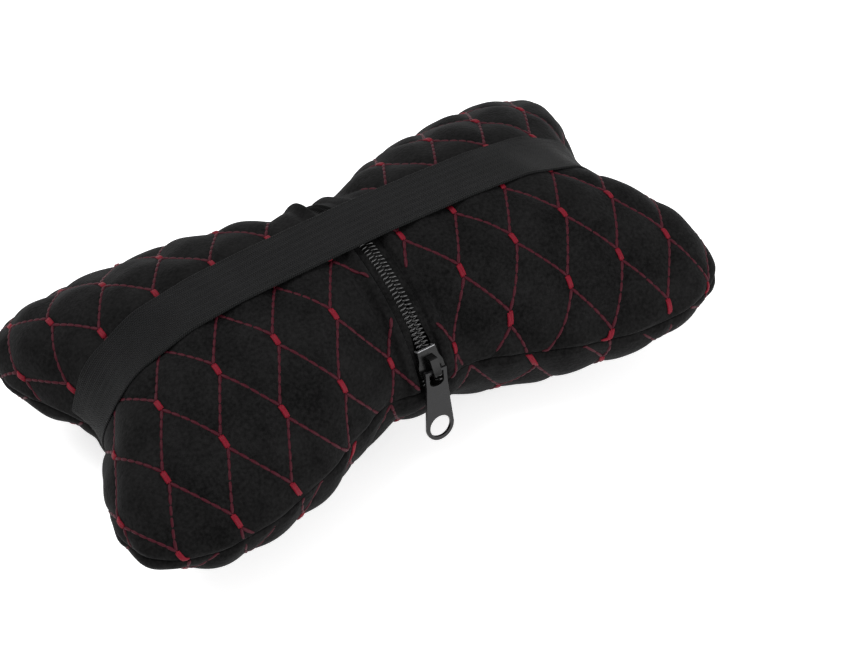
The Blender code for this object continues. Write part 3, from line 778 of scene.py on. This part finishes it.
def make_front_cover():
    """The quilted cover that the pillow lies on: two fans of cloth joined along the middle."""
    halves = []
    for mirror in (-1, 1):
        points, level, normal = cover_grid("front", mirror, FRONT_ROWS, FRONT_COLUMNS, 0.0)
        points[..., 2] = np.maximum(points[..., 2], 0.0)
        halves.append(with_folds(points, level, normal, False))
    points = np.concatenate([halves[0][:, :0:-1], halves[1]], axis=1)
    faces = grid_faces(points.shape[0], points.shape[1], True)
    cover = make_piece("front_cover", points, [faces], COVER_CLOTH, "pillow")
    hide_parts("front_panel")


SIDES = {"left": -1, "right": 1}
back_points = {side: make_back_cover(side, mirror) for side, mirror in SIDES.items()}
make_front_cover()

# %% [markdown]
# ## Tubes
# Thread, coil wire and knots are all tubes: a line in the middle and rings round it. The rings are
# worked out for every tube at once, and the ends are closed.


# %% Tube helper
def unit(vectors):
    """Vectors of length one."""
    return vectors / np.maximum(np.linalg.norm(vectors, axis=-1, keepdims=True), 1e-12)


def tube_rings(line, outward, radius, around, widen=1.0):
    """Rings round lines of points.

    The line's direction and the side that faces outwards give each ring its two axes. radius may
    change along the line, and widen makes the tube wider than it is tall.
    """
    direction = unit(np.gradient(line, axis=-2))
    sideways = unit(np.cross(direction, outward))
    upward = np.cross(sideways, direction)
    turn = np.arange(around) * 2 * math.pi / around
    spread = np.asarray(radius)[..., None, None] * np.stack([np.cos(turn), np.sin(turn)], -1)
    rings = line[..., None, :] + upward[..., None, :] * spread[..., :1]
    return rings + sideways[..., None, :] * spread[..., 1:] * widen


def tube_faces(tubes, along, around):
    """Side faces and end caps of many like tubes."""
    index = np.arange(tubes * along * around).reshape(tubes, along, around)
    closed = np.concatenate([index, index[..., :1]], axis=-1)
    corners = [closed[:, :-1, :-1], closed[:, :-1, 1:], closed[:, 1:, 1:], closed[:, 1:, :-1]]
    sides = np.stack(corners, -1).reshape(-1, 4)
    return [sides, index[:, 0, ::-1], index[:, -1]]


# %% [markdown]
# ## Red stitching
# Each stitch shows as a short dash of thread that rises from the groove and dives back into it.
# The dashes are spread along each stitch line between two knots, and a knot is three strands.

# %% Stitches
STITCHES_PER_SIDE = 6
STITCH_LENGTH = 0.0041
STITCH_RADIUS = 0.00052
STITCH_HEIGHT = 0.00022
KNOT_RADIUS = 0.00050
KNOT_HEIGHT = 0.000484
KNOT_SPREAD = 0.00058
KNOT_PINCH, KNOT_SPLAY, KNOT_SHORTENING = 0.75, 0.5, 0.12
SEAM_MARGIN = 0.0006
HEM_MARGIN = 0.3 * HEM_ROLL
FAR_MARGIN = 0.0003
THREAD_RINGS, THREAD_SIDES = 7, 8
THREAD_WIDEN = 1.35
THREAD_DIVE = 0.8
THREAD_TIP = 0.22


def lattice_knots():
    """Whole lattice places that hold a knot: every other one, as on a chessboard."""
    reach = math.ceil(4 * LOBE_TIP / DIAMOND_WIDTH)
    columns, rows = np.meshgrid(np.arange(-reach, reach + 1), np.arange(-reach, reach + 1))
    is_knot = (columns + rows) % 2 == 0
    return columns[is_knot].astype(float), rows[is_knot].astype(float)


def stitch_lines():
    """Lattice places along every stitch: from each knot, one line runs on to each side.

    The stitches of a line are spaced evenly by its length on the cloth, clear of the knots.
    """
    columns, rows = lattice_knots()
    across = warp(WARP_TABLE) * DIAMOND_WIDTH / 2
    along = WARP_TABLE * DIAMOND_LENGTH / 2
    length = np.concatenate([[0], np.cumsum(np.hypot(np.diff(across), np.diff(along)))])
    spots = np.linspace(KNOT_HALF, length[-1] - KNOT_HALF, STITCHES_PER_SIDE + 1)
    middles = (spots[:-1] + spots[1:]) / 2
    local = middles[:, None] + np.linspace(-0.5, 0.5, THREAD_RINGS)[None] * STITCH_LENGTH
    run = np.interp(local, length, WARP_TABLE)
    hand = np.array([-1.0, 1.0])[:, None, None, None]
    across = columns[None, :, None, None] + hand * warp(run)[None, None]
    along = rows[None, :, None, None] + run[None, None] + 0 * hand
    return across.reshape(-1, THREAD_RINGS), along.reshape(-1, THREAD_RINGS)


def knot_lines():
    """Lattice places along the three strands of each knot, which lie side by side.

    The outer strands splay by the square of the place along them, and they are a little shorter.
    """
    columns, rows = lattice_knots()
    local = np.linspace(-1, 1, THREAD_RINGS)
    strand = np.array([-1.0, 0.0, 1.0])[:, None]
    sideways = strand * KNOT_SPREAD * (KNOT_PINCH + KNOT_SPLAY * local[None] ** 2)
    across = columns[:, None, None] + sideways[None] / (DIAMOND_WIDTH / 2)
    reach = KNOT_HALF * (1 - KNOT_SHORTENING * np.abs(strand))
    along = rows[:, None, None] + (local[None] * reach)[None] / (DIAMOND_LENGTH / 2) + 0 * across
    return across.reshape(-1, THREAD_RINGS), along.reshape(-1, THREAD_RINGS)


def lay_thread(lines, side, mirror, lift, radius):
    """Rings of the threads that lie on a cover, clear of the hem and of the rise behind the strap.

    A thread near the seam is pulled inside it. Each is a low arc over the cloth: lift less
    THREAD_DIVE of it times the square of the place along it. Its radius tapers to the ends.
    """
    is_back = side != "front"
    u, v = from_lattice(*lines, PATTERNS[side])
    _, _, to_seam = cloth_to_form(u, v, is_back)
    keep = to_seam[:, THREAD_RINGS // 2] > SEAM_MARGIN
    pull = 1 - np.clip(SEAM_MARGIN - to_seam, 0, None) / np.maximum(np.hypot(u, v), SEAM_MARGIN)
    u, v = u * pull, v * pull
    theta, reach, to_seam = cloth_to_form(u, v, is_back)
    level = cover_point(theta, reach, is_back)
    normal = cover_normal(theta, reach, is_back)
    if is_back:
        away = level[..., 0] * mirror - HEM_EDGE
        keep &= away.min(axis=1) > HEM_MARGIN
        keep &= np.abs(far_bulge(v, away, side)).max(axis=1) < FAR_MARGIN
    local = np.linspace(-1, 1, THREAD_RINGS)
    pad = pad_height(u, v, level[..., 0], to_seam, side)
    height = pad + lift * (1 - THREAD_DIVE * local**2)
    line = (level + normal * height[..., None])[keep]
    taper = radius * np.sqrt(np.clip(1 - np.abs(local) ** 3, THREAD_TIP, 1))
    taper = np.broadcast_to(taper, line.shape[:2])
    rings = tube_rings(line, normal[keep], taper, THREAD_SIDES, THREAD_WIDEN)
    if not is_back:
        rings[..., 2] = np.maximum(rings[..., 2], 0.0)
    return rings


def make_thread(side, mirror):
    """All the stitches of a cover, and all its knots."""
    kinds = {
        "stitches": (stitch_lines(), STITCH_HEIGHT, STITCH_RADIUS, LINE_THREAD),
        "knots": (knot_lines(), KNOT_HEIGHT, KNOT_RADIUS, KNOT_THREAD),
    }
    for kind, (lines, lift, radius, material) in kinds.items():
        rings = lay_thread(lines, side, mirror, lift, radius)
        faces = tube_faces(len(rings), THREAD_RINGS, THREAD_SIDES)
        make_piece(f"{side}_{kind}", rings, faces, material, "pillow")


for side, mirror in (*SIDES.items(), ("front", 0)):
    make_thread(side, mirror)

# %% [markdown]
# ## The zip
# Each half of the zip is a coil of nylon wire: a flat helix whose loops reach over the middle and
# lock into the loops of the other half. It follows the arc over the waist. The slider holds the two
# coils apart round its divider.

# %% Coils
TAPE_DROP = 0.0018
ZIP_END_GAP = 0.0016
SLIDER_STOP = 0.0048
COIL_OUTER = 0.0032
COIL_INNER = -0.00055
COIL_HEIGHT = 0.0022
COIL_PITCH = 0.00165
COIL_LIFT = 0.0003
COIL_SQUARENESS = 0.8
COIL_OFFSETS = {"left": 0.75, "right": 0.25}
WIRE_RADIUS = 0.00040
WIRE_STEPS, WIRE_SIDES = 16, 8
SLIDER_LENGTH = 0.0110
DIVIDER_ROOM = 0.0015
DIVIDER_RAMP = 0.28 * SLIDER_LENGTH
ZIP_END = math.atan2(WAIST, ZIP_RADIUS - CROWN_RISE) - ZIP_END_GAP / ZIP_RADIUS
SLIDER_REST = ZIP_END - (SLIDER_LENGTH / 2 + SLIDER_STOP) / ZIP_RADIUS


def on_zip(x, angle, height):
    """Place on the zip: angle from the crown to the far side and height over the stitch level."""
    radius = ZIP_RADIUS + height
    return np.stack([x, radius * np.sin(angle), ZIP_CENTRE + radius * np.cos(angle)], -1)


def make_coil(side, mirror):
    """One coil: a flat helix bent on to the zip's arc, half a pitch off the other one.

    Across the zip the wire follows the cosine of its turn, squared up by a power, and in height
    the sine. From the slider's divider to the near end it keeps DIVIDER_ROOM off the middle.
    """
    radius = ZIP_RADIUS - TAPE_DROP
    loops = int(2 * ZIP_END * radius / COIL_PITCH) - 1
    turn = np.linspace(0, 2 * math.pi * loops, loops * WIRE_STEPS + 1)
    angle = -ZIP_END + (turn / (2 * math.pi) + COIL_OFFSETS[side]) * COIL_PITCH / radius
    behind = (-angle - SLIDER_REST) * ZIP_RADIUS
    spread = DIVIDER_ROOM * smooth(behind / DIVIDER_RAMP + 0.5)
    middle = (COIL_OUTER + COIL_INNER) / 2
    reach = (COIL_OUTER - COIL_INNER) / 2 - WIRE_RADIUS
    swing = np.sign(np.cos(turn)) * np.abs(np.cos(turn)) ** COIL_SQUARENESS
    x = middle + spread + reach * swing
    lift = COIL_HEIGHT / 2 - WIRE_RADIUS
    height = -TAPE_DROP + COIL_LIFT + COIL_HEIGHT / 2 + lift * np.sin(turn)
    line = on_zip(mirror * x, angle, height)
    core = on_zip(mirror * (middle + spread), angle, -TAPE_DROP + COIL_HEIGHT / 2)
    rings = tube_rings(line, line - core, np.full(len(line), WIRE_RADIUS), WIRE_SIDES)
    faces = tube_faces(1, len(line), WIRE_SIDES)
    coil = make_piece(f"{side}_coil", rings, faces, COIL_NYLON, "pillow")
    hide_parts(f"zip_coil_{side}")


for side, mirror in SIDES.items():
    make_coil(side, mirror)


# %% [markdown]
# ## The solids that stay
# The two tapes and the filling keep the frame's own shape and only get a finish.


# %% Tapes and filling
def dress(node, material):
    """Give a solid of the frame its finish, on every slot."""
    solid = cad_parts[node]
    if solid.material_slots:
        for own in solid.material_slots:
            own.material = material
    else:
        solid.data.materials.append(material)


for node in ("zip_tape_left", "zip_tape_right"):
    dress(node, TAPE_CLOTH)
dress("filling", FILLING)

# %% [markdown]
# ## Slider and puller
# Both are cast, so their edges are rounded. A copy of each solid is merged into flat faces, which a
# bevel then rounds.


# %% Slider and puller
SLIDER_DARK, SLIDER_LIGHT = (0.002, 0.002, 0.002), (0.005, 0.005, 0.005)
# Bare metal where the enamel is rubbed off along the slider's mouth edge. It is also a painted
# highlight on that edge.
BARE_METAL_AND_HIGHLIGHT = (0.42, 0.42, 0.43)
SLIDER_METAL, RUB_AND_HIGHLIGHT_METAL = 0.1, 0.85
RUB_AND_HIGHLIGHT_WIDTH = 0.0006
SLIDER_EDGE, PULLER_EDGE = 0.00024, 0.00022
FLAT_ANGLE, SHARP_ANGLE = math.radians(3), math.radians(40)


def cast_copy(node, name, material, body, width):
    """A rounded copy of a solid, standing for it."""
    shape = bmesh.new()
    shape.from_mesh(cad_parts[node].data)
    bmesh.ops.remove_doubles(shape, verts=shape.verts, dist=1e-6)
    bmesh.ops.dissolve_limit(shape, angle_limit=FLAT_ANGLE, verts=shape.verts, edges=shape.edges)
    mesh = bpy.data.meshes.new(name)
    shape.to_mesh(mesh)
    shape.free()
    mesh.materials.clear()
    mesh.materials.append(material)
    mesh.shade_smooth()
    mesh.set_sharp_from_angle(angle=SHARP_ANGLE)
    piece = add_object(name, mesh)
    edge = piece.modifiers.new("rounded edges", "BEVEL")
    edge.width = width
    edge.segments = 3
    edge.limit_method = "ANGLE"
    edge.angle_limit = SHARP_ANGLE
    edge.harden_normals = True
    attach(piece, body)
    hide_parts(node)
    print(name, "has", len(mesh.polygons), "flat faces")


def enamel_with_wear_and_painted_highlight():
    """The slider's enamel, rubbed to bare metal along the edge where the closed teeth come out. The
    bare metal also stands in for the highlight that this edge catches: a painted highlight.

    The place along the zip is the angle about the arc's middle times its radius. The bare metal
    fades out evenly over RUB_AND_HIGHLIGHT_WIDTH on both sides of the edge.
    """
    finish, tone = enamel("slider_enamel_with_painted_highlight", SLIDER_DARK, SLIDER_LIGHT, SLIDER_METAL, 0.12)
    place = finish.place()
    y, z = finish.part(place, "Y"), finish.part(place, "Z")
    along = finish.maths("ARCTAN2", 0.0 - y, z - ZIP_CENTRE) * ZIP_RADIUS
    edge = SLIDER_REST * ZIP_RADIUS - SLIDER_LENGTH / 2
    off = ((along - edge) / RUB_AND_HIGHLIGHT_WIDTH).size()
    rub_and_highlight = 1.0 - finish.maths("MINIMUM", off, 1.0)
    finish.set("Base Color", finish.mix(rub_and_highlight, tone, BARE_METAL_AND_HIGHLIGHT))
    finish.set("Metallic", rub_and_highlight * RUB_AND_HIGHLIGHT_METAL + SLIDER_METAL)
    return finish.material


cast_copy("zip_slider", "slider", enamel_with_wear_and_painted_highlight(), "slider", SLIDER_EDGE)
cast_copy("zip_puller", "puller", PULLER_FINISH.material, "puller", PULLER_EDGE)

# %% [markdown]
# ## The elastic strap
# The strap is taut, so it lies on the quilting like a stretched band: its line from the side is the
# tight hull round the cloth under it. The hull is found from its supporting points: for each
# direction, the point of the cloth that reaches furthest that way. It is found for three bands of
# the strap's width, and a curve across the three makes the sheet.

# %% Strap
STRAP_THICKNESS = 0.0010
STRAP_STATIONS, STRAP_COLUMNS, STRAP_ROUND = 400, 41, 5
HULL_MARGIN, HULL_DIRECTIONS = 0.5, 1801
SMOOTHING = 6
TUCK_DEPTH = 0.0013
TUCK_LENGTH = 0.004


def taut_line(points):
    """The tight line round points of the side view, from one seam over the back to the other.

    For each direction it takes the point that lies furthest that way.
    """
    direction = np.linspace(math.pi + HULL_MARGIN, -HULL_MARGIN, HULL_DIRECTIONS)
    reach = np.outer(np.cos(direction), points[:, 0]) + np.outer(np.sin(direction), points[:, 1])
    furthest = points[np.argmax(reach, axis=1)]
    steps = np.linalg.norm(np.diff(furthest, axis=0), axis=1)
    return furthest[np.concatenate([[True], steps > 1e-6])]


def band_route(cloth, middle, count):
    """Even points along the taut line over one lengthways band, smoothed by a weighted mean."""
    under = np.abs(cloth[:, 1] - middle) < STRAP_WIDTH / 6
    line = taut_line(cloth[under][:, [0, 2]])
    length = run_length(line)
    places = np.linspace(0, length[-1], count)
    even = np.stack([np.interp(places, length, line[:, k]) for k in range(2)], -1)
    kernel = np.hanning(2 * SMOOTHING + 1)
    kernel /= kernel.sum()
    longer = np.pad(even, ((SMOOTHING, SMOOTHING), (0, 0)), mode="edge")
    return np.stack([np.convolve(longer[:, k], kernel, "valid") for k in range(2)], -1)


def strap_sheet(y):
    """Points of the strap's underside at widths y: a parabola through its three bands."""
    cloth = np.concatenate([points.reshape(-1, 3) for points in back_points.values()])
    bands = [band_route(cloth, k * STRAP_WIDTH / 3, STRAP_STATIONS) for k in (-1, 0, 1)]
    near, middle, far = bands
    share = (y / (STRAP_WIDTH / 2))[None, :, None]
    lean = (far - near)[:, None] / 2
    bend = (far + near)[:, None] / 2 - middle[:, None]
    return middle[:, None] + lean * share + bend * share**2


def make_strap():
    """The strap: a flat profile with round edges, carried along the taut line, its ends tucked in.

    Each point lies over the sheet by its height in the profile, less the tuck near the ends.
    """
    half, thick = STRAP_WIDTH / 2, STRAP_THICKNESS
    across = np.linspace(-1, 1, STRAP_COLUMNS) * (half - thick / 2)
    turn = np.linspace(0, math.pi, STRAP_ROUND)[1:-1]
    round_y = half - thick / 2 + np.sin(turn) * thick / 2
    round_h = thick / 2 + np.cos(turn) * thick / 2
    y = np.concatenate([across, round_y, across[::-1], -round_y])
    h = np.concatenate([across * 0 + thick, round_h, across * 0, round_h[::-1]])
    sheet = strap_sheet(y)
    middle = sheet.mean(axis=1)
    direction = unit(np.gradient(middle, axis=0))
    outward = np.stack([-direction[:, 1], direction[:, 0]], -1)
    places = run_length(middle)
    to_end = np.minimum(places, places[-1] - places)
    tuck = TUCK_DEPTH * (1 - smooth(to_end / TUCK_LENGTH))
    side = sheet + outward[:, None] * (h[None] - tuck[:, None])[..., None]
    points = np.stack([side[..., 0], np.broadcast_to(y, side.shape[:2]), side[..., 1]], -1)[None]
    flat = np.stack(np.broadcast_arrays(places[:, None], y[None]), -1)
    faces = [part[:, ::-1] for part in tube_faces(1, len(middle), len(y))]
    strap = make_piece("strap", points, faces, STRAP_CLOTH, "pillow", flat)
    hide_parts("elastic_strap")
    print("strap length", round(float(places[-1]), 3))


make_strap()

# %% [markdown]
# ## Floor and light
# The photograph has a white ground with a soft shadow on the near side. The floor is pale and
# glows a little, which also lights the pillow from below, and the camera sees it glow more, as
# white. A broad lamp behind and above, a weaker one in front and an even sky give soft light.

# %% Floor
FLOOR_HALF = 3.0
FLOOR_GLOW = 0.62
FLOOR_BOUNCE = 0.30
FLOOR_DARK, FLOOR_LIGHT = (0.86, 0.86, 0.86), (0.87, 0.87, 0.87)


def seen_directly(finish):
    """1 for rays that come from the camera or from a mirror or glass, else 0."""
    kinds = ("Is Camera Ray", "Is Glossy Ray", "Is Transmission Ray")
    rays = [finish.node("ShaderNodeLightPath", output=kind) for kind in kinds]
    return finish.maths("MAXIMUM", finish.maths("MAXIMUM", rays[0], rays[1]), rays[2])


def make_floor():
    """A pale floor that the camera sees as white where no shadow falls."""
    finish = Finish("floor_white", Roughness=0.9, Specular_IOR_Level=0.0)
    finish.set("Base Color", finish.mix(finish.noise(40.0), FLOOR_DARK, FLOOR_LIGHT))
    finish.set("Emission Strength", 1.0)
    glow = seen_directly(finish) * (FLOOR_GLOW - FLOOR_BOUNCE) + FLOOR_BOUNCE
    finish.set("Emission Color", finish.mix(glow, (0.0, 0.0, 0.0), (1.0, 1.0, 1.0)))
    corners = np.array([[-1, -1, 0], [1, -1, 0], [1, 1, 0], [-1, 1, 0]]) * FLOOR_HALF
    mesh = bpy.data.meshes.new("floor")
    mesh.from_pydata(corners.tolist(), [], [(0, 1, 2, 3)])
    mesh.materials.append(finish.material)
    floor = add_object("floor", mesh)


make_floor()


# %% Light
SKY_LIGHT = 0.55
LAMP_AIM = (0.0, 0.0, 0.04)
LAMPS = {
    "key": ((-0.45, 0.3, 1.15), 0.9, 11.5),
    "fill": ((0.5, -1.05, 0.38), 0.8, 9.5),
}


def make_lamp(name, place, size, power):
    """A square soft lamp that points at the pillow: its place, its side in metres and its watts."""
    lamp = bpy.data.lights.new(name, "AREA")
    lamp.size = size
    lamp.energy = power
    holder = add_object(name, lamp)
    holder.location = place
    aim = Vector(LAMP_AIM) - Vector(place)
    holder.rotation_euler = aim.to_track_quat("-Z", "Y").to_euler()


def make_sky():
    """An even sky that the camera and mirrors see as white."""
    world = bpy.data.worlds.new("studio")
    bpy.context.scene.world = world
    world.use_nodes = True
    tree = world.node_tree
    background = tree.nodes["Background"]
    rays = tree.nodes.new("ShaderNodeLightPath")
    level = tree.nodes.new("ShaderNodeMapRange")
    level.inputs["To Min"].default_value = SKY_LIGHT
    level.inputs["To Max"].default_value = 1.0
    direct = rays.outputs["Is Camera Ray"]
    for kind in ("Is Glossy Ray", "Is Transmission Ray"):
        either = tree.nodes.new("ShaderNodeMath")
        either.operation = "MAXIMUM"
        tree.links.new(direct, either.inputs[0])
        tree.links.new(rays.outputs[kind], either.inputs[1])
        direct = either.outputs[0]
    tree.links.new(direct, level.inputs["Value"])
    tree.links.new(level.outputs["Result"], background.inputs["Strength"])
    background.inputs["Color"].default_value = (1.0, 1.0, 1.0, 1.0)


make_sky()
for name, (place, size, power) in LAMPS.items():
    make_lamp(name, place, size, power)
bpy.context.scene.view_settings.view_transform = "Standard"
print("lamps:", *LAMPS)
